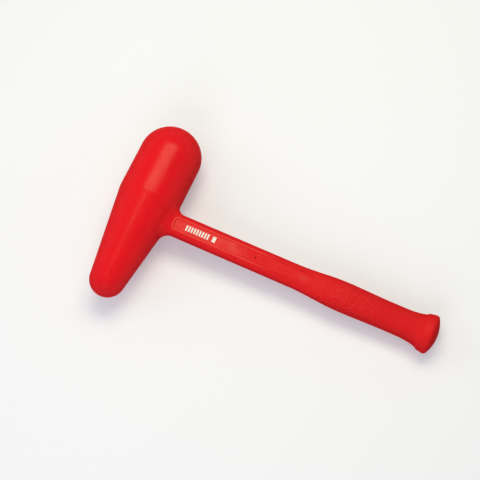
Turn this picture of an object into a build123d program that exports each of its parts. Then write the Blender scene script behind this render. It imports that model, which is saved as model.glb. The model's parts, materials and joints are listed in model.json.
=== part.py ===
from build123d import *

import math
import os

# Dead blow mallet: a teardrop head and a handle, cast in one piece round a welded steel core.
# Millimetres. While it is modelled, the head's axis is Y, with the large end at +Y, and the
# handle's axis is +X. The mallet is then set down on its side, on its barrel and the rim of
# its butt, with the origin on the surface, under the middle of its bounding box.

# Head: reaches are measured along Y from the handle's axis
barrel_radius = 31.75
nose_radius = 18.0
large_reach = 93.8
small_reach = 95.3
barrel_end = 13.1
taper_blend = 21.0

# Handle: lengths run along X, and its own length is from the head's axis to the butt's end
handle_length = 312.2
neck_width, neck_depth, neck_squareness = 23.9, 14.6, 2.9
crest_width, crest_depth, crest_squareness = 30.0, 23.4, 2.2
waist_width, waist_depth = 28.3, 22.2
flare_width, flare_depth = 34.6, 29.2
flare_growth = 2.65
flare_length = 25.8
waist_length = 10.0
slimming_length = 46.0
swelling_length = 53.0
thickening_length = 34.0
root_fillet = 9.0
section_points = 28
stretch_steps = 5

# Butt collar
butt_width, butt_depth = 40.2, 34.6
collar_length = 8.8
collar_step = 1.2
collar_rounding = 2.6
butt_crown = 5.6
profile_samples = 600

# Sunk panels, one in each face of the neck, with a raised bead round them
panel_start = 35.7
panel_overrun = 19.9
panel_width = 11.4
panel_corner = 3.2
panel_sink = 0.8
bead_width, bead_rise = 1.4, 0.15

# Hole left in the upper panel by the mould's locating pin, which stands on the rod
pin_station = 123.4
pin_radius = 0.6

# Canister: its cover is the urethane between the tube's large end and the dome's tip
tube_radius, tube_wall = 19.05, 2.1
canister_length = 104.0
canister_cover = 15.3
cap_thickness = 4.0
cap_setback = 1.5
plug_radius, plug_tip = 4.0, 0.8
plug_head_radius, plug_head = 6.5, 1.0

# Shot: nested layers of balls, which fill part of the room between the caps
ball_radius = 4.0
ball_gap = 0.1
shot_share = 0.67

# Handle core
rod_radius = 4.75
weld_leg = 3.6
anchor_setback = 5.8
washer_radius, washer_thickness = 10.0, 2.0
nut_across, nut_thickness = 14.3, 8.0
rod_tip = 1.5

# Clearances: the primer between steel and urethane, and a piece slipped over or into another
bond_line = 0.05
slip_fit = 0.05

# Stations along X, each measured back from the butt
collar_start = handle_length - butt_crown - collar_length
waist_end = collar_start - flare_length
waist_start = waist_end - waist_length
crest_station = waist_start - slimming_length
neck_end = crest_station - swelling_length
thickening_start = crest_station - thickening_length
panel_end = neck_end + panel_overrun
washer_station = collar_start - anchor_setback
nut_station = washer_station + washer_thickness
rod_end = nut_station + nut_thickness + rod_tip

# Reaches along Y
bore_radius = tube_radius - tube_wall
large_end = large_reach - canister_cover
small_end = large_end - canister_length
large_face = large_end - cap_setback
small_face = small_end + cap_setback


def across(station):
    """The plane across the handle at a station, with its own x along Y."""
    return Plane(origin=(station, 0, 0), x_dir=(0, 1, 0), z_dir=(1, 0, 0))


def on_head(reach):
    """The plane across the head at a reach along Y."""
    return Plane(origin=(0, reach, 0), x_dir=(1, 0, 0), z_dir=(0, 1, 0))


def disc(radius, start, end):
    """A cylinder on the head's axis."""
    return extrude(on_head(start) * Circle(radius), end - start)


def bar(radius, start, end):
    """A cylinder on the handle's axis."""
    return extrude(across(start) * Circle(radius), end - start)


def bow(value, power):
    return math.copysign(abs(value) ** power, value)


def section(station, width, depth, squareness):
    """A squarish oval across the handle: a superellipse, whose exponent is the squareness."""
    turns = [2 * math.pi * n / section_points for n in range(section_points)]
    points = [
        (
            width / 2 * bow(math.cos(turn), 2 / squareness),
            depth / 2 * bow(math.sin(turn), 2 / squareness),
        )
        for turn in turns
    ]
    return across(station) * make_face(Spline(points, periodic=True))


def mix(start, end, share):
    return start + (end - start) * share


def ease(share):
    return share * share * (3 - 2 * share)


def handle_section(station):
    """The handle's section at a station between the neck's end and the collar."""
    square = crest_squareness
    if station <= crest_station:
        swell = ease((station - neck_end) / (crest_station - neck_end))
        late = (station - thickening_start) / (crest_station - thickening_start)
        thicken = ease(max(late, 0))
        width = mix(neck_width, crest_width, swell)
        depth = mix(neck_depth, crest_depth, thicken)
        square = mix(neck_squareness, crest_squareness, thicken)
    elif station <= waist_start:
        share = ease((station - crest_station) / (waist_start - crest_station))
        width = mix(crest_width, waist_width, share)
        depth = mix(crest_depth, waist_depth, share)
    else:
        share = max(station - waist_end, 0) / (collar_start - waist_end)
        width = mix(waist_width, flare_width, share**flare_growth)
        depth = mix(waist_depth, flare_depth, share**flare_growth)
    return section(station, width, depth, square)


def stations(start, end, steps):
    return [mix(start, end, n / steps) for n in range(1, steps + 1)]


def grip():
    places = [neck_end]
    places += stations(neck_end, crest_station, stretch_steps)
    places += stations(crest_station, waist_start, stretch_steps)
    places += stations(waist_start, waist_end, 1)
    places += stations(waist_end, collar_start, stretch_steps)
    return loft([handle_section(place) for place in places])


def taper_angle():
    """The taper's half angle, of the line from the barrel's end that is tangent to the nose."""
    run = barrel_end + small_reach - nose_radius
    slant = math.hypot(barrel_radius, run)
    return math.atan2(barrel_radius, run) - math.asin(nose_radius / slant)


def head():
    """A domed barrel that tapers to a round nose, with its break eased by a blend."""
    angle = taper_angle()
    lean = Vector(math.sin(angle), -math.cos(angle))
    nose_centre = Vector(0, nose_radius - small_reach)
    dome_centre = Vector(0, large_reach - barrel_radius)
    touch = nose_centre + Vector(-math.cos(angle), -math.sin(angle)) * nose_radius
    middle = (math.pi / 2 + angle) / 2
    nose_middle = nose_centre + Vector(-math.cos(middle), -math.sin(middle)) * nose_radius
    blend = taper_blend * math.tan(angle / 2)
    low = Vector(-barrel_radius, barrel_end) + lean * blend
    high = Vector(-barrel_radius, barrel_end + blend)
    shoulder = Vector(-barrel_radius, dome_centre.Y)
    dome_middle = dome_centre + Vector(-1, 1).normalized() * barrel_radius
    nose_tip = Vector(0, -small_reach)
    dome_tip = Vector(0, large_reach)
    outline = [
        ThreePointArc(nose_tip, nose_middle, touch),
        Line(touch, low),
        TangentArc(low, high, tangent=lean * -1),
        Line(high, shoulder),
        ThreePointArc(shoulder, dome_middle, dome_tip),
        Line(dome_tip, nose_tip),
    ]
    return revolve(make_face(outline), Axis.Y)


def collar_profile():
    """The collar's half profile, along X, with its radius along Y."""
    rim = butt_width / 2
    foot = flare_width / 2 + collar_step
    buried = collar_start - collar_rounding
    end = collar_start + collar_length
    back = (buried, foot - collar_rounding)
    crown_top = (end + butt_crown, 0)
    outline = [
        Polyline(crown_top, (buried, 0), back, (collar_start, foot), (end, rim)),
        TangentArc(crown_top, (end, rim), tangent=(0, 1)),
    ]
    face = make_face(outline)
    return fillet(face.vertices().sort_by(Axis.Y)[-1], collar_rounding)


def butt_collar():
    """The collar that stops the hand: turned, then flattened to an oval."""
    turned = revolve(collar_profile(), Axis.X)
    return scale(turned, by=(1, 1, butt_depth / butt_width))


def panel_sketch(margin):
    """The panel's outline with a margin round it, on the plane through both axes."""
    length = panel_end - panel_start
    middle = Pos((panel_start + panel_end) / 2, 0)
    return middle * RectangleRounded(
        length + 2 * margin, panel_width + 2 * margin, panel_corner + margin
    )


def cast_outside():
    """Head, neck, grip and collar as one casting, with the upper and lower panels."""
    striker = head()
    neck = extrude(section(0, neck_width, neck_depth, neck_squareness), neck_end)
    joined = striker + neck
    joined = fillet(new_edges(striker, neck, combined=joined), root_fillet)
    face = neck_depth / 2
    bead = extrude(panel_sketch(bead_width), face + bead_rise)
    sunk = Pos(0, 0, face - panel_sink) * extrude(panel_sketch(0), face)
    casting = joined + grip() + butt_collar() + bead + mirror(bead, Plane.XY)
    return casting - sunk - mirror(sunk, Plane.XY)


def turned_about_head(*corners):
    """A ring about the head's axis, from corners given as radius and reach."""
    return revolve(make_face(Polyline(*corners, close=True)), Axis.Y)


def rod_weld_ring(margin):
    """The fillet weld between rod and tube, with a margin round it, down to the tube's axis."""
    toe = rod_radius + weld_leg + margin
    top = tube_radius + weld_leg + margin
    corners = [(0, 0), (0, toe), (tube_radius + margin, toe), (top, rod_radius), (top, 0)]
    return revolve(make_face(Polyline(*corners, close=True)), Axis.X)


def end_pocket(face, end):
    """The urethane that fills one end of the tube, over the cap and inside its weld."""
    outward = math.copysign(bond_line, end - face)
    inner = bore_radius - bond_line
    return turned_about_head(
        (0, face + outward),
        (inner - cap_setback, face + outward),
        (inner, end + outward),
        (0, end + outward),
    )


def core_cavity():
    """The room that the welded core takes in the casting, with the bond line round it."""
    plug_room = (plug_head_radius + bond_line, small_face - plug_head - bond_line, small_face)
    canister = disc(tube_radius + bond_line, small_end - bond_line, large_end + bond_line)
    canister -= end_pocket(large_face, large_end)
    canister -= end_pocket(small_face, small_end)
    nut = hexagon(nut_across / 2 + bond_line)
    nut_length = nut_thickness + bond_line
    return (
        canister
        + disc(*plug_room)
        + rod_weld_ring(bond_line)
        + bar(rod_radius + bond_line, 0, rod_end + bond_line)
        + bar(washer_radius + bond_line, washer_station - bond_line, nut_station + bond_line)
        + extrude(across(nut_station) * nut, nut_length)
    )


def hexagon(flat_radius):
    return RegularPolygon(flat_radius, 6, major_radius=False)


def cast_body():
    """The urethane, with the core's room inside it and the locating pin's hole down to the rod."""
    pin_hole = Pos(pin_station, 0, 0) * extrude(Circle(pin_radius), neck_depth)
    return cast_outside() - core_cavity() - pin_hole


def canister_tube():
    return disc(tube_radius, small_end, large_end) - disc(bore_radius, small_end, large_end)


def large_cap():
    return disc(bore_radius, large_face - cap_thickness, large_face)


def small_cap():
    hole = disc(plug_radius + slip_fit, small_face, small_face + cap_thickness)
    return disc(bore_radius, small_face, small_face + cap_thickness) - hole


def cap_weld(face, end):
    """The fillet weld in the corner between a cap and the tube's bore."""
    return turned_about_head((bore_radius, face), (bore_radius - cap_setback, face), (bore_radius, end))


def fill_plug():
    """The plug that closes the shot's filling hole, with its head against the cap's outside."""
    shank = disc(plug_radius, small_face, small_face + cap_thickness + plug_tip)
    return shank + disc(plug_head_radius, small_face - plug_head, small_face)


def shot_rings():
    """Radius and number of balls of each ring in a layer, from the bore inwards."""
    touch = 2 * ball_radius + ball_gap
    radius = bore_radius - ball_radius - ball_gap
    rings = []
    while radius > touch / 2:
        rings.append((radius, int(math.pi / math.asin(touch / 2 / radius))))
        radius -= touch
    return rings


def layer_pitch():
    """The distance between layers whose rings are each turned by half their spacing."""
    touch = 2 * ball_radius + ball_gap
    sideways = [2 * radius * math.sin(math.pi / count / 2) for radius, count in shot_rings()]
    return math.sqrt(touch**2 - min(min(sideways), touch) ** 2)


def shot_charge():
    """The loose shot, lying against the cap at the large end."""
    room = large_face - small_face - 2 * cap_thickness
    layers = int((room * shot_share - 2 * ball_radius) / layer_pitch()) + 1
    top = large_face - cap_thickness - ball_radius - ball_gap
    balls = []
    for layer in range(layers):
        reach = top - layer * layer_pitch()
        for radius, count in shot_rings():
            spacing = 360 / count
            start = spacing / 2 * (layer % 2)
            places = PolarLocations(radius, count, start_angle=start)
            balls += [on_head(reach) * place * Sphere(ball_radius) for place in places]
    return Compound(balls)


def handle_rod():
    """The rod, its end shaped to the tube's wall."""
    return bar(rod_radius, 0, rod_end) - disc(tube_radius, small_end, large_end)


def rod_weld():
    ring = rod_weld_ring(0)
    return ring - disc(tube_radius, small_end, large_end) - bar(rod_radius, 0, rod_end)


def anchor_washer():
    hole = bar(rod_radius + slip_fit, washer_station, nut_station)
    return bar(washer_radius, washer_station, nut_station) - hole


def anchor_nut():
    hole = bar(rod_radius + slip_fit, nut_station, rod_end)
    return extrude(across(nut_station) * hexagon(nut_across / 2), nut_thickness) - hole


def resting_tilt():
    """The turn about Y that brings the collar's rim level with the barrel's underside."""
    outline = collar_profile().face().outer_wire()
    points = [outline @ (n / profile_samples) for n in range(profile_samples)]
    flatness = butt_depth / butt_width
    tilt = 0
    for _ in range(4):
        lowest = max(
            points, key=lambda p: p.X * math.sin(tilt) + p.Y * flatness * math.cos(tilt)
        )
        depth = lowest.Y * flatness
        slant = math.hypot(lowest.X, depth)
        tilt = math.asin(barrel_radius / slant) - math.atan2(depth, lowest.X)
    return math.degrees(tilt)


def main():
    pieces = {
        "cast_body": cast_body(),
        "canister_tube": canister_tube(),
        "large_cap": large_cap(),
        "small_cap": small_cap(),
        "large_cap_weld": cap_weld(large_face, large_end),
        "small_cap_weld": cap_weld(small_face, small_end),
        "fill_plug": fill_plug(),
        "shot_charge": shot_charge(),
        "handle_rod": handle_rod(),
        "rod_weld": rod_weld(),
        "anchor_washer": anchor_washer(),
        "anchor_nut": anchor_nut(),
    }
    tilted = Rot(0, resting_tilt(), 0)
    middle = (tilted * pieces["cast_body"]).bounding_box().center()
    set_down = Pos(-middle.X, -middle.Y, barrel_radius) * tilted
    os.makedirs("parts", exist_ok=True)
    for name, piece in pieces.items():
        export_step(set_down * piece, f"parts/{name}.step")


main()
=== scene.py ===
import json
import math

import bmesh
import bpy
import numpy as np
from mathutils import Matrix, Vector


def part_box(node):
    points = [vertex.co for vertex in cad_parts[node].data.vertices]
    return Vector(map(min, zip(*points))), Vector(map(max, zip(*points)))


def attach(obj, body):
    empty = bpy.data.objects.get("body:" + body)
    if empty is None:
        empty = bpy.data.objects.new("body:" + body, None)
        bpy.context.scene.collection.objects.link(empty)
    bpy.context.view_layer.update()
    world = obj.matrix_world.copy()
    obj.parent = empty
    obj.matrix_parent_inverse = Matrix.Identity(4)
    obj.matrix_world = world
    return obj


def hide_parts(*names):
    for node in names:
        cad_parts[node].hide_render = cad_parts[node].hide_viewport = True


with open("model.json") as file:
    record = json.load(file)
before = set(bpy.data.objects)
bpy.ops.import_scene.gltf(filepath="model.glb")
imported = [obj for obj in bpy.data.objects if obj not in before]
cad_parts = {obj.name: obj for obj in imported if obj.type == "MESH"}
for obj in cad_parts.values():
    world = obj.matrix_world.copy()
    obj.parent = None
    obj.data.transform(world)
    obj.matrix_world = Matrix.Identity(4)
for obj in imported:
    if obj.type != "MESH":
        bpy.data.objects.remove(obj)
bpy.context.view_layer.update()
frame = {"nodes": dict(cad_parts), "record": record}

# The dressed mallet. The casting's skin is one smooth surface, worked out from the same sizes
# as its solid: a head of revolution, a squarish handle and a turned collar, blended together.
# Metres. "Mallet space" has its origin where the centre lines cross, the handle along X and
# the head along Y; the frame's own tilt lays it down. A station is a place along the handle.

MM = 0.001

# Read from the frame
mounts = {mount["name"]: mount for mount in frame["record"]["mounts"]}
tube_low, tube_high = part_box("canister_tube")
rod_low, rod_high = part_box("handle_rod")
cast_low, cast_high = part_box("cast_body")
handle_way = Vector(mounts["hand_grip"]["axis"]).normalized()
crossing = Vector(
    (
        (tube_low.x + tube_high.x) / 2,
        (rod_low.y + rod_high.y) / 2,
        (tube_low.z + tube_high.z) / 2,
    )
)
large_reach = cast_high.y - crossing.y
small_reach = crossing.y - cast_low.y

# Head
barrel_radius = 31.75 * MM
nose_radius = 18.0 * MM
barrel_end = 13.1 * MM
taper_blend = 21.0 * MM

# Handle
neck_width, neck_depth, neck_squareness = 23.9 * MM, 14.6 * MM, 2.9
crest_width, crest_depth, crest_squareness = 30.0 * MM, 23.4 * MM, 2.2
waist_width, waist_depth = 28.3 * MM, 22.2 * MM
flare_width, flare_depth = 34.6 * MM, 29.2 * MM
flare_growth = 2.65
neck_end = 163.0 * MM
thickening_start = 182.0 * MM
crest_station = 216.0 * MM
waist_start, waist_end = 262.0 * MM, 272.0 * MM
collar_start = 297.8 * MM
root_fillet = 9.0 * MM

# Collar
butt_width, butt_depth = 40.2 * MM, 34.6 * MM
collar_length = 8.8 * MM
collar_step = 1.2 * MM
collar_rounding = 2.6 * MM
collar_blend = 1.2 * MM
butt_crown = 5.6 * MM

# Panels: the bead runs round the outline, and the wall slopes from it to the sunk floor
panel_start, panel_end = 35.7 * MM, 182.9 * MM
panel_width = 11.4 * MM
panel_corner = 3.2 * MM
panel_sink = 0.8 * MM
wall_foot, wall_width = 0.45 * MM, 0.5 * MM
bead_width, bead_flat, bead_rise, bead_side = 1.4 * MM, 0.6 * MM, 0.1 * MM, 0.5 * MM
pin_station = 123.4 * MM
pin_radius = 0.6 * MM
pin_depth = 1.4 * MM
pin_floor, pin_wall = 0.8 * pin_radius, 0.5 * pin_radius

# Polish from use on the panel, beside the print and in a spot at the far end, and a painted
# highlight: a pale line along the bead
polish_fade_start, polish_fade = 99.0 * MM, 22.0 * MM
polish_edge, polish_edge_width = -0.6 * MM, 0.5 * MM
spot_station, spot_radius = 174.0 * MM, 5.0 * MM
spot_stretch, spot_polish = 2, 0.7
glint_fade_start, glint_fade = 112.0 * MM, 40.0 * MM
glint_flat, glint_side = bead_flat / 3, 0.35 * MM

# Printed marks
mark_height = 5.8 * MM
mark_lift = 0.06 * MM
bar_width, bar_pitch, bar_count = 1.7 * MM, 2.87 * MM, 9
bars_start = 48.5 * MM
block_start, block_width = 77.0 * MM, 3.6 * MM

# Mesh: each margin is a round of halving the mesh that lies so near
mesh_step = 1.1 * MM
cavity_depth = 1.5 * MM
skin_inset = 0.03 * MM
probe = 0.02 * MM
bead_margins = (2.0 * MM, 1.1 * MM)
pin_margins = (2.4 * MM, 2.0 * MM, 1.6 * MM, 1.2 * MM)

# Camera, in mallet space: the way back to it, the handle's slope in the view, and its aim
view_way = Vector((0.168, -0.265, 0.9495)).normalized()
view_slope = -23.18
view_distance = 1.080
view_lens = 82.58
aim_station, aim_reach = 101.0 * MM, 11.9 * MM


# ---------------------------------------------------------------- the surface, as gaps from it


def ease(share):
    share = np.clip(share, 0, 1)
    return share * share * (3 - 2 * share)


def fade(value, start, length):
    """One up to the start, nought past that length, and smooth between."""
    return 1 - ease((value - start) / length)


def mix(start, end, share):
    return start + (end - start) * share


def round_union(first, second, radius):
    """The gap from two shapes joined by a fillet of that radius."""
    near = np.hypot(np.maximum(radius - first, 0), np.maximum(radius - second, 0))
    return np.maximum(radius, np.minimum(first, second)) - near


def round_common(first, second, radius):
    """The gap from what two shapes have in common, with the edge between them rounded."""
    far = np.hypot(np.maximum(radius + first, 0), np.maximum(radius + second, 0))
    return np.minimum(-radius, np.maximum(first, second)) + far


def head_gap(p):
    """A domed barrel, a blend, a taper and a round nose, turned about Y."""
    radius, reach = np.hypot(p[:, 0], p[:, 2]), p[:, 1]
    run = barrel_end + small_reach - nose_radius
    slant = math.hypot(barrel_radius, run)
    angle = math.atan2(barrel_radius, run) - math.asin(nose_radius / slant)
    nose = nose_radius - small_reach
    dome = large_reach - barrel_radius
    blend_radius = barrel_radius - taper_blend
    blend = barrel_end + taper_blend * math.tan(angle / 2)
    down = np.array((-math.sin(angle), -math.cos(angle)))
    out = np.array((math.cos(angle), -math.sin(angle)))
    past_nose = radius * down[0] + (reach - nose) * down[1] > 0
    past_blend = (radius - blend_radius) * down[0] + (reach - blend) * down[1] > 0
    return np.select(
        [past_nose, past_blend, reach < blend, reach > dome],
        [
            np.hypot(radius, reach - nose) - nose_radius,
            radius * out[0] + (reach - nose) * out[1] - nose_radius,
            np.hypot(radius - blend_radius, reach - blend) - taper_blend,
            np.hypot(radius, reach - dome) - barrel_radius,
        ],
        radius - barrel_radius,
    )


def handle_sizes(station):
    """Half width, half depth and squareness of the handle at each station."""
    swell = ease((station - neck_end) / (crest_station - neck_end))
    thicken = ease((station - thickening_start) / (crest_station - thickening_start))
    slim = ease((station - crest_station) / (waist_start - crest_station))
    flare = np.clip((station - waist_end) / (collar_start - waist_end), 0, 1) ** flare_growth
    width = mix(neck_width, crest_width, swell) + (waist_width - crest_width) * slim
    depth = mix(neck_depth, crest_depth, thicken) + (waist_depth - crest_depth) * slim
    width += (flare_width - waist_width) * flare
    depth += (flare_depth - waist_depth) * flare
    return width / 2, depth / 2, mix(neck_squareness, crest_squareness, thicken)


def handle_gap(p):
    """A superellipse across each station, with its level turned into a distance."""
    width, depth, square = handle_sizes(p[:, 0])
    across = np.maximum(np.abs(p[:, 1]) / width, 1e-6)
    up = np.maximum(np.abs(p[:, 2]) / depth, 1e-6)
    level = (across**square + up**square) ** (1 / square)
    steepness = np.hypot(across ** (square - 1) / width, up ** (square - 1) / depth)
    gap = (level - 1) / (level ** (1 - square) * steepness)
    end = collar_start + collar_length / 2
    return np.maximum(gap, np.maximum(-p[:, 0], p[:, 0] - end))


def collar_gap(p):
    """A cone that widens to a rounded rim, with a crowned end, made oval."""
    rim = butt_width / 2
    foot = flare_width / 2 + collar_step
    end = collar_start + collar_length
    station, radius = p[:, 0], np.hypot(p[:, 1], p[:, 2] * butt_width / butt_depth)
    angle = math.atan2(rim - foot, collar_length)
    side = (radius - rim) * math.cos(angle) - (station - end) * math.sin(angle)
    ball = (rim**2 + butt_crown**2) / butt_crown / 2
    crown = np.hypot(station - end - butt_crown + ball, radius) - ball
    back = (collar_start - station + radius - foot) / math.sqrt(2)
    return np.maximum(round_common(side, crown, collar_rounding), back)


def skin_gap(p):
    joined = round_union(head_gap(p), handle_gap(p), root_fillet)
    return round_union(joined, collar_gap(p), collar_blend) + skin_inset


def steepest(p):
    """The way in which the gap grows fastest at each point, as central differences."""
    steps = np.eye(3) * probe
    return np.stack([skin_gap(p + step) - skin_gap(p - step) for step in steps], 1) / (2 * probe)


def settled(p, turns=6, least_slope=0.2):
    """The points moved on to the skin."""
    for _ in range(turns):
        way = steepest(p)
        p = p - way * (skin_gap(p) / np.maximum((way**2).sum(1), least_slope))[:, None]
    return p


# ---------------------------------------------------------------- from the frame to mallet space

tilt = math.atan2(-handle_way.z, handle_way.x)
lay_down = Matrix.Translation(crossing) @ Matrix.Rotation(tilt, 4, "Y")


def coordinates(mesh):
    flat = np.empty(len(mesh.vertices) * 3)
    mesh.vertices.foreach_get("co", flat)
    return flat.reshape(-1, 3)


def frame_x(station):
    """Where a station lies along the frame's X."""
    return crossing.x + station * math.cos(tilt)


# ---------------------------------------------------------------- the skin's mesh


def panel_distance(x, y):
    """The distance outside the panel's rounded outline, negative inside it."""
    half_length, half_width = (panel_end - panel_start) / 2, panel_width / 2
    over_x = np.abs(x - (panel_start + panel_end) / 2) - half_length + panel_corner
    over_y = np.abs(y) - half_width + panel_corner
    outside = np.hypot(np.maximum(over_x, 0), np.maximum(over_y, 0))
    return outside + np.minimum(np.maximum(over_x, over_y), 0) - panel_corner


def skin_topology():
    """An even mesh near the skin: the solid remeshed, less the room for the core inside it."""
    mesh = frame["nodes"]["cast_body"].data.copy()
    holder = bpy.data.objects.new("skin_start", mesh)
    bpy.context.scene.collection.objects.link(holder)
    remesh = holder.modifiers.new("even", "REMESH")
    remesh.mode = "VOXEL"
    remesh.voxel_size = mesh_step
    depsgraph = bpy.context.evaluated_depsgraph_get()
    even = bpy.data.meshes.new_from_object(holder.evaluated_get(depsgraph))
    bpy.data.objects.remove(holder)
    even.transform(lay_down.inverted())
    work = bmesh.new()
    work.from_mesh(even)
    gaps = skin_gap(coordinates(even))
    inner = [vertex for vertex, gap in zip(work.verts, gaps) if gap < -cavity_depth]
    bmesh.ops.delete(work, geom=inner, context="VERTS")
    rims = [edge for edge in work.edges if edge.is_boundary]
    bmesh.ops.holes_fill(work, edges=rims)
    return work


def refine(work, wanted):
    """Halves the edges of the faces for which wanted says yes, from their middles."""
    faces = list(work.faces)
    middles = np.array([face.calc_center_median() for face in faces])
    edges = {edge for face, yes in zip(faces, wanted(middles)) if yes for edge in face.edges}
    bmesh.ops.subdivide_edges(work, edges=list(edges), cuts=1, use_grid_fill=True)


def near_bead(margin):
    def wanted(p):
        lip = panel_distance(p[:, 0], p[:, 1]) - bead_width / 2
        return (np.abs(p[:, 2]) > neck_depth / 4) & (np.abs(lip) < margin)

    return wanted


def near_pin(margin):
    def wanted(p):
        return (p[:, 2] > 0) & (np.hypot(p[:, 0] - pin_station, p[:, 1]) < margin)

    return wanted


def sculpt(p):
    """Sinks the panels, raises the bead round them and makes the locating pin's hole."""
    lip = panel_distance(p[:, 0], p[:, 1])
    side = np.sign(p[:, 2])
    height = np.abs(p[:, 2])
    on_face = (height > neck_depth / 4) & (lip < 2 * bead_width)
    floor = neck_depth / 2 - panel_sink
    sunk = mix(height, floor, fade(lip, -wall_foot, wall_width))
    crest = np.maximum(neck_depth / 2 - skin_inset, height + bead_rise)
    off_crest = np.abs(lip - bead_width / 2)
    sunk = mix(sunk, crest, fade(off_crest, bead_flat / 2, bead_side))
    off_pin = np.hypot(p[:, 0] - pin_station, p[:, 1])
    sunk -= np.where(side > 0, pin_depth * fade(off_pin, pin_floor, pin_wall), 0)
    p = p.copy()
    p[:, 2] = np.where(on_face, side * sunk, p[:, 2])
    return p


def polish_and_glint(p):
    """How far the panel's floor is polished, and where a highlight is painted pale along its bead;
    both fade outward.
    """
    x, y = p[:, 0], p[:, 1]
    lip = panel_distance(x, y)
    on_face = p[:, 2] > neck_depth / 4
    near_print = fade(x, polish_fade_start, polish_fade)
    far_end = spot_polish * fade(np.hypot((x - spot_station) / spot_stretch, y), 0, spot_radius)
    inside = fade(lip, polish_edge, polish_edge_width)
    crest = fade(np.abs(lip - bead_width / 2), glint_flat, glint_side)
    return {
        "polish": on_face * inside * (near_print + far_end),
        "bead_glint": on_face * crest * fade(x, glint_fade_start, glint_fade),
    }


def make_skin():
    work = skin_topology()
    for margin in bead_margins:
        refine(work, near_bead(margin))
    for margin in pin_margins:
        refine(work, near_pin(margin))
    bmesh.ops.triangulate(work, faces=[face for face in work.faces if len(face.verts) > 4])
    bmesh.ops.recalc_face_normals(work, faces=work.faces)
    mesh = bpy.data.meshes.new("mallet_skin")
    work.to_mesh(mesh)
    work.free()
    points = sculpt(settled(coordinates(mesh)))
    for name, amount in polish_and_glint(points).items():
        mesh.attributes.new(name, "FLOAT", "POINT").data.foreach_set("value", amount)
    mesh.vertices.foreach_set("co", points.ravel())
    mesh.transform(lay_down)
    mesh.shade_smooth()
    skin = bpy.data.objects.new("mallet_skin", mesh)
    bpy.context.scene.collection.objects.link(skin)
    return skin


# ---------------------------------------------------------------- printed marks


def add_bar(work, start, width):
    """One bar of ink on the panel's floor, with its upper edges bevelled."""
    floor = neck_depth / 2 - panel_sink - skin_inset
    rows = []
    for rise, shrink in ((-mark_lift, 0), (mark_lift / 2, 0), (mark_lift, mark_lift)):
        row = []
        for across, along in ((-1, 0), (-1, 1), (1, 1), (1, 0)):
            y = across * (mark_height / 2 - shrink)
            x = start + along * width + (shrink if along == 0 else -shrink)
            row.append(work.verts.new((x, y, floor + rise)))
        rows.append(row)
    for low, high in zip(rows, rows[1:]):
        for n in range(4):
            work.faces.new((low[n], low[(n + 1) % 4], high[(n + 1) % 4], high[n]))
    work.faces.new(rows[-1])
    work.faces.new(reversed(rows[0]))


def make_marks():
    """A row of plain bars and one block, where a tool of this kind has its print."""
    work = bmesh.new()
    for n in range(bar_count):
        add_bar(work, bars_start + n * bar_pitch, bar_width)
    add_bar(work, block_start, block_width)
    bmesh.ops.recalc_face_normals(work, faces=work.faces)
    mesh = bpy.data.meshes.new("panel_marks")
    work.to_mesh(mesh)
    work.free()
    mesh.transform(lay_down)
    marks = bpy.data.objects.new("panel_marks", mesh)
    bpy.context.scene.collection.objects.link(marks)
    return marks


# ---------------------------------------------------------------- materials


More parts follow.
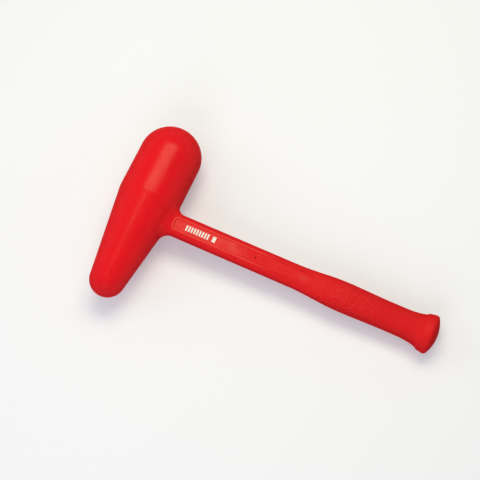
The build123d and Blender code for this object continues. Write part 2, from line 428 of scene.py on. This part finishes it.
class Shader:
    """A node tree with short ways to add to it."""

    # A colour Mix node has its colours at these sockets, after those for numbers and vectors
    first_colour, second_colour, mixed_colour = 6, 7, 2

    def __init__(self, name):
        self.material = bpy.data.materials.new(name)
        self.material.use_nodes = True
        self.tree = self.material.node_tree
        self.surface = self.tree.nodes["Principled BSDF"]
        self.place = self.add("ShaderNodeTexCoord").outputs["Object"]

    def add(self, kind, **settings):
        node = self.tree.nodes.new(kind)
        for key, value in settings.items():
            setattr(node, key, value)
        return node

    def wire(self, output, socket):
        self.tree.links.new(output, socket)

    def noise(self, size, detail=2.0, roughness=0.5, stretch=None):
        """Noise with features of about that size in metres."""
        node = self.add("ShaderNodeTexNoise")
        node.inputs["Scale"].default_value = 1 / size
        node.inputs["Detail"].default_value = detail
        node.inputs["Roughness"].default_value = roughness
        place = self.place
        if stretch:
            mapping = self.add("ShaderNodeMapping")
            mapping.inputs["Scale"].default_value = stretch
            self.wire(place, mapping.inputs["Vector"])
            place = mapping.outputs["Vector"]
        self.wire(place, node.inputs["Vector"])
        return node.outputs["Fac"]

    def cells(self, size):
        """The distance from the middle of the nearest of many cells of about that size."""
        node = self.add("ShaderNodeTexVoronoi", feature="SMOOTH_F1")
        node.inputs["Scale"].default_value = 1 / size
        self.wire(self.place, node.inputs["Vector"])
        return node.outputs["Distance"]

    def attribute(self, name):
        return self.add("ShaderNodeAttribute", attribute_name=name).outputs["Fac"]

    def span(self, value, low, high, to_low=0.0, to_high=1.0):
        """The value's range from low to high, smoothly mapped on to another."""
        node = self.add("ShaderNodeMapRange", interpolation_type="SMOOTHSTEP")
        ends = {"From Min": low, "From Max": high, "To Min": to_low, "To Max": to_high}
        for name, number in ends.items():
            node.inputs[name].default_value = number
        self.wire(value, node.inputs["Value"])
        return node.outputs["Result"]

    def maths(self, operation, first, second):
        node = self.add("ShaderNodeMath", operation=operation)
        for socket, value in zip(node.inputs, (first, second)):
            if isinstance(value, (int, float)):
                socket.default_value = value
            else:
                self.wire(value, socket)
        return node.outputs["Value"]

    def times(self, first, second):
        return self.maths("MULTIPLY", first, second)

    def plus(self, first, second):
        return self.maths("ADD", first, second)

    def blend(self, share, first, second):
        """A colour between two, by a share."""
        node = self.add("ShaderNodeMix", data_type="RGBA")
        self.wire(share, node.inputs["Factor"])
        for place, value in ((self.first_colour, first), (self.second_colour, second)):
            if isinstance(value, tuple):
                node.inputs[place].default_value = (*value, 1)
            else:
                self.wire(value, node.inputs[place])
        return node.outputs[self.mixed_colour]

    def away_from(self, point):
        """The distance from a point of the frame."""
        node = self.add("ShaderNodeVectorMath", operation="DISTANCE")
        self.wire(self.place, node.inputs[0])
        node.inputs[1].default_value = point
        return node.outputs["Value"]

    def relief(self, *layers):
        """Bumps in turn, each a height and the depth in metres that it stands for."""
        normal = None
        for height, depth in layers:
            node = self.add("ShaderNodeBump")
            node.inputs["Distance"].default_value = depth
            self.wire(height, node.inputs["Height"])
            if normal is not None:
                self.wire(normal, node.inputs["Normal"])
            normal = node.outputs["Normal"]
        self.wire(normal, self.surface.inputs["Normal"])

    def paint(self, colour):
        self.wire(colour, self.surface.inputs["Base Color"])

    def roughen(self, roughness):
        self.wire(roughness, self.surface.inputs["Roughness"])

    def set(self, **values):
        for name, value in values.items():
            self.surface.inputs[name.replace("_", " ")].default_value = value


# The urethane's zones along the handle: the stations at which each starts and is whole, and at
# which it starts to fade and is gone
handle_zone = (barrel_radius - 2 * MM, barrel_radius + 8 * MM)
grain_zone = (178 * MM, 196 * MM, 232 * MM, 262 * MM)
grain_left = 0.12
matt_and_shade_zone = (210 * MM, 250 * MM, 290 * MM, 299 * MM)
pebble_size = 2.1 * MM

# The urethane's reds
head_light, head_deep = (0.825, 0.0064, 0.0135), (0.785, 0.0062, 0.0140)
# Painted shade and sheen: the handle's red is darker than the head's, and less deep
shaded_handle_red = (0.750, 0.0105, 0.0160)
speck_red = (0.845, 0.0100, 0.0150)
grain_red = (0.730, 0.0055, 0.0095)
# Painted shade: the darker red towards the butt end, where less light falls
butt_end_shade_red = (0.715, 0.0115, 0.0160)
# A painted highlight: the pale red of glints on the grip's pebble crests
crest_glint_red = (0.860, 0.0450, 0.0450)
# A painted highlight: the pale red of the line along the panel's bead
bead_glint_red = (0.950, 0.0950, 0.0750)
# Painted shade: near black inside the pin's hole
hole_shade_red = (0.020, 0.0015, 0.0015)


def zone(s, along, places, left=0.0):
    """A share that rises between the first two stations and falls to what is left by the last."""
    start, whole, fading, gone = (frame_x(station) for station in places)
    return s.times(s.span(along, start, whole), s.span(along, fading, gone, 1.0, left))


def urethane_colour(s, on_handle, grained, matt_and_shade, pebbles):
    cloud = s.span(s.noise(38 * MM, detail=3.0), 0.35, 0.65)
    speck = s.span(s.noise(2.2 * MM), 0.42, 0.62)
    # Pebble crests painted paler on the grip: painted glints
    crest_glints = s.times(pebbles, s.span(s.noise(8 * MM), 0.35, 0.65, 0.24, 0.46))
    # The handle is painted a darker, less deep red than the head: painted shade where less light
    # reaches it, and a painted sheen
    colour = s.blend(on_handle, s.blend(cloud, head_light, head_deep), shaded_handle_red)
    colour = s.blend(s.times(speck, 0.25), colour, speck_red)
    colour = s.blend(s.times(grained, 0.6), colour, grain_red)
    # Darker towards the butt end: painted shade, over the matt zone
    colour = s.blend(s.times(matt_and_shade, 0.8), colour, butt_end_shade_red)
    colour = s.blend(crest_glints, colour, crest_glint_red)
    # A pale line along the panel's bead: a painted highlight
    colour = s.blend(s.attribute("bead_glint"), colour, bead_glint_red)
    # The pin's hole is painted near black: painted shade in the recess
    hole_bottom = lay_down @ Vector((pin_station, 0, neck_depth / 2 - panel_sink - pin_depth))
    out_of_hole = s.span(s.away_from(hole_bottom), pin_depth * 0.7, pin_depth)
    return s.blend(out_of_hole, hole_shade_red, colour)


def urethane_roughness(s, on_handle, matt_and_shade):
    """Patchy gloss, matt on the handle but for the polished panel, and rougher where it turns."""
    gloss = s.span(s.noise(7 * MM, detail=4.0, roughness=0.65), 0.3, 0.7, 0.22, 0.34)
    matt = s.span(s.noise(5 * MM, detail=3.0), 0.3, 0.7, 0.29, 0.37)
    matt = s.plus(s.times(matt, on_handle), s.times(matt_and_shade, 0.20))
    streaks = s.noise(4 * MM, detail=3.0, stretch=(0.4, 1, 1))
    worn = s.times(s.attribute("polish"), s.span(streaks, 0.35, 0.55, 0.7, 1.0))
    matt = s.times(matt, s.maths("SUBTRACT", 1.0, worn))
    turned = s.add("ShaderNodeLayerWeight").outputs["Facing"]
    return s.plus(s.plus(gloss, matt), s.span(turned, 0.15, 0.6, 0.0, 0.45))


def urethane():
    """Red cast urethane: smooth on the head, satin on the neck, pebbled on the grip, with glints
    painted pale on the pebbles' crests.
    """
    s = Shader("red_urethane")
    parts = s.add("ShaderNodeSeparateXYZ")
    s.wire(s.place, parts.inputs["Vector"])
    along = parts.outputs["X"]
    on_handle = s.span(along, *(frame_x(station) for station in handle_zone))
    grained = zone(s, along, grain_zone, grain_left)
    matt_and_shade = zone(s, along, matt_and_shade_zone)
    pebbles = s.times(s.span(s.cells(pebble_size), 0.1, 0.55, 1.0, 0.0), grained)
    s.paint(urethane_colour(s, on_handle, grained, matt_and_shade, pebbles))
    s.roughen(urethane_roughness(s, on_handle, matt_and_shade))
    waves = s.noise(9 * MM, detail=1.0)
    peel = s.noise(1.6 * MM, detail=1.0)
    s.relief((waves, 0.06 * MM), (peel, 0.012 * MM), (pebbles, 0.25 * MM))
    s.set(Specular_IOR_Level=0.15, IOR=1.5)
    return s.material


def ink():
    """White printing ink, slightly uneven where it lies over the moulding's texture."""
    s = Shader("white_ink")
    patch = s.span(s.noise(1.1 * MM, detail=3.0), 0.35, 0.6)
    s.paint(s.blend(patch, (0.80, 0.74, 0.73), (0.88, 0.87, 0.86)))
    s.roughen(s.span(s.noise(3 * MM), 0.3, 0.7, 0.45, 0.6))
    s.relief((s.noise(0.6 * MM), 0.02 * MM))
    return s.material


def steel(name, dark, light, rough, scratch=(1, 1, 1), relief_size=0.8 * MM, depth=0.02 * MM):
    """Bare or plated steel, with drawing marks along the stretched axis and patchy tone and
    roughness.
    """
    s = Shader(name)
    patch = s.span(s.noise(7 * MM, detail=4.0, roughness=0.65), 0.35, 0.65)
    s.paint(s.blend(patch, dark, light))
    s.roughen(s.span(s.noise(2.5 * MM, stretch=scratch), 0.3, 0.7, rough - 0.08, rough + 0.1))
    s.relief((s.noise(relief_size, detail=3.0, stretch=scratch), depth))
    s.set(Metallic=1.0)
    return s.material


def steels():
    """A material for each kind of steel inside."""
    along_y, along_x = (1, 0.05, 1), (0.05, 1, 1)
    bare_dark, bare_light = (0.36, 0.36, 0.37), (0.50, 0.50, 0.50)
    weld_dark, weld_light = (0.20, 0.18, 0.17), (0.42, 0.38, 0.34)
    shot_dark, shot_light = (0.34, 0.34, 0.35), (0.58, 0.58, 0.58)
    tube = steel("drawn_tube", bare_dark, bare_light, 0.42, along_y)
    rod = steel("drawn_rod", bare_dark, bare_light, 0.40, along_x)
    plate = steel("cut_plate", (0.38, 0.38, 0.39), (0.50, 0.50, 0.51), 0.46)
    weld = steel("weld_bead", weld_dark, weld_light, 0.5, relief_size=1.6 * MM, depth=0.25 * MM)
    shot = steel("tumbled_shot", shot_dark, shot_light, 0.30, relief_size=0.5 * MM)
    zinc = steel("zinc_plate", (0.52, 0.53, 0.50), (0.66, 0.66, 0.62), 0.34)
    return {
        "canister_tube": tube,
        "handle_rod": rod,
        "large_cap": plate,
        "small_cap": plate,
        "large_cap_weld": weld,
        "small_cap_weld": weld,
        "rod_weld": weld,
        "shot_charge": shot,
        "fill_plug": zinc,
        "anchor_washer": zinc,
        "anchor_nut": zinc,
    }


def dress(piece, material):
    piece.data.materials.clear()
    piece.data.materials.append(material)


# ---------------------------------------------------------------- floor, light and camera


def seen_by_eye(tree):
    """One for camera, glossy and transmission rays, nought for the light that falls on things."""
    path = tree.nodes.new("ShaderNodeLightPath")
    seen = path.outputs["Is Camera Ray"]
    for name in ("Is Glossy Ray", "Is Transmission Ray"):
        either = tree.nodes.new("ShaderNodeMath")
        either.operation = "MAXIMUM"
        tree.links.new(seen, either.inputs[0])
        tree.links.new(path.outputs[name], either.inputs[1])
        seen = either.outputs["Value"]
    return seen


def floor_material():
    """White with the mallet's shadow for the eye, and a plain grey for the light it throws up."""
    near, far = 0.4, 1.8
    near_glow, far_glow = 0.27, 0.74
    s = Shader("white_floor")
    s.set(Base_Color=(0.72, 0.72, 0.78, 1), Roughness=0.9, Specular_IOR_Level=0.0)
    glow = s.add("ShaderNodeEmission")
    glow.inputs["Color"].default_value = (0.90, 0.91, 1, 1)
    strength = s.span(s.away_from((0, 0, 0)), near, far, near_glow, far_glow)
    s.wire(strength, glow.inputs["Strength"])
    both = s.add("ShaderNodeAddShader")
    s.wire(s.surface.outputs["BSDF"], both.inputs[0])
    s.wire(glow.outputs["Emission"], both.inputs[1])
    bounce = s.add("ShaderNodeBsdfDiffuse")
    bounce.inputs["Color"].default_value = (0.5, 0.5, 0.5, 1)
    choice = s.add("ShaderNodeMixShader")
    s.wire(seen_by_eye(s.tree), choice.inputs[0])
    s.wire(bounce.outputs["BSDF"], choice.inputs[1])
    s.wire(both.outputs["Shader"], choice.inputs[2])
    s.wire(choice.outputs["Shader"], s.tree.nodes["Material Output"].inputs["Surface"])
    return s.material


def make_floor():
    work = bmesh.new()
    bmesh.ops.create_grid(work, x_segments=1, y_segments=1, size=4.0)
    mesh = bpy.data.meshes.new("floor")
    work.to_mesh(mesh)
    work.free()
    floor = bpy.data.objects.new("floor", mesh)
    bpy.context.scene.collection.objects.link(floor)
    dress(floor, floor_material())


def make_world():
    """Pale light from all round. The eye sees white at the horizon and grey overhead."""
    horizon, overhead = 0.2, 0.7
    horizon_white, overhead_white = 1.0, 0.35
    world = bpy.data.worlds.new("studio")
    bpy.context.scene.world = world
    world.use_nodes = True
    tree = world.node_tree
    fill = tree.nodes["Background"]
    fill.inputs["Color"].default_value = (0.92, 0.95, 1.0, 1)
    fill.inputs["Strength"].default_value = 0.30
    parts = tree.nodes.new("ShaderNodeSeparateXYZ")
    way = tree.nodes.new("ShaderNodeTexCoord").outputs["Generated"]
    tree.links.new(way, parts.inputs["Vector"])
    darken = tree.nodes.new("ShaderNodeMapRange")
    darken.interpolation_type = "SMOOTHSTEP"
    darken.inputs["From Min"].default_value = horizon
    darken.inputs["From Max"].default_value = overhead
    darken.inputs["To Min"].default_value = horizon_white
    darken.inputs["To Max"].default_value = overhead_white
    tree.links.new(parts.outputs["Z"], darken.inputs["Value"])
    white = tree.nodes.new("ShaderNodeBackground")
    white.inputs["Color"].default_value = (1, 1, 1, 1)
    tree.links.new(darken.outputs["Result"], white.inputs["Strength"])
    choice = tree.nodes.new("ShaderNodeMixShader")
    tree.links.new(seen_by_eye(tree), choice.inputs[0])
    tree.links.new(fill.outputs["Background"], choice.inputs[1])
    tree.links.new(white.outputs["Background"], choice.inputs[2])
    tree.links.new(choice.outputs["Shader"], tree.nodes["World Output"].inputs["Surface"])


def lamp(name, azimuth, elevation, distance, sizes, watts, colour=(1, 1, 1)):
    """An area lamp aimed at the mallet's middle. Azimuth 0 is past its nose, 90 past its butt."""
    data = bpy.data.lights.new(name, "AREA")
    data.shape = "RECTANGLE"
    data.size, data.size_y = sizes
    data.energy = watts
    data.color = colour
    light = bpy.data.objects.new(name, data)
    bpy.context.scene.collection.objects.link(light)
    a, e = math.radians(azimuth), math.radians(elevation)
    way = Vector((math.sin(a) * math.cos(e), -math.cos(a) * math.cos(e), math.sin(e)))
    light.location = Vector((0, 0, (cast_low.z + cast_high.z) / 2)) + way * distance
    light.rotation_mode = "QUATERNION"
    light.rotation_quaternion = way.to_track_quat("Z", "Y")
    return light


def soften(light):
    """Keeps the lamp out of reflections, as a wide bounce that fills shade but has no glint."""
    light.visible_glossy = False


def make_lamps():
    """The key's stripe lies along the barrel and the top's along the taper; the rest fill."""
    lamp("key", 190.5, 66, distance=1.14, sizes=(0.84, 0.44), watts=6.6, colour=(1.0, 0.98, 0.68))
    lamp("top", 242, 81, distance=1.05, sizes=(0.5, 0.20), watts=0.9, colour=(1.0, 0.98, 0.60))
    soften(lamp("side", 280, 35, distance=1.2, sizes=(0.8, 0.8), watts=1.8))
    soften(lamp("front", 5, 35, distance=1.2, sizes=(0.8, 0.8), watts=4.0))


def make_camera():
    """The camera aims at a point in the mallet's own plane, from a way given in mallet space."""
    data = bpy.data.cameras.new("camera")
    data.lens = view_lens
    data.clip_start, data.clip_end = 0.05, 20
    camera = bpy.data.objects.new("camera", data)
    bpy.context.scene.collection.objects.link(camera)
    handle = (Vector((1, 0, 0)) - view_way * view_way.x).normalized()
    over = view_way.cross(handle)
    slope = math.radians(view_slope)
    right = handle * math.cos(slope) - over * math.sin(slope)
    up = handle * math.sin(slope) + over * math.cos(slope)
    turned = Matrix((right, up, view_way)).transposed().to_4x4()
    aim = Vector((aim_station, aim_reach, 0))
    camera.matrix_world = lay_down @ Matrix.Translation(aim + view_way * view_distance) @ turned
    bpy.context.scene.camera = camera


# ---------------------------------------------------------------- the scene

make_camera()
make_world()
make_floor()
make_lamps()
bpy.context.scene.view_settings.view_transform = "Standard"

skin = make_skin()
dress(skin, urethane())
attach(skin, "mallet")
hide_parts("cast_body")

marks = make_marks()
dress(marks, ink())
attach(marks, "mallet")

for node, material in steels().items():
    dress(frame["nodes"][node], material)
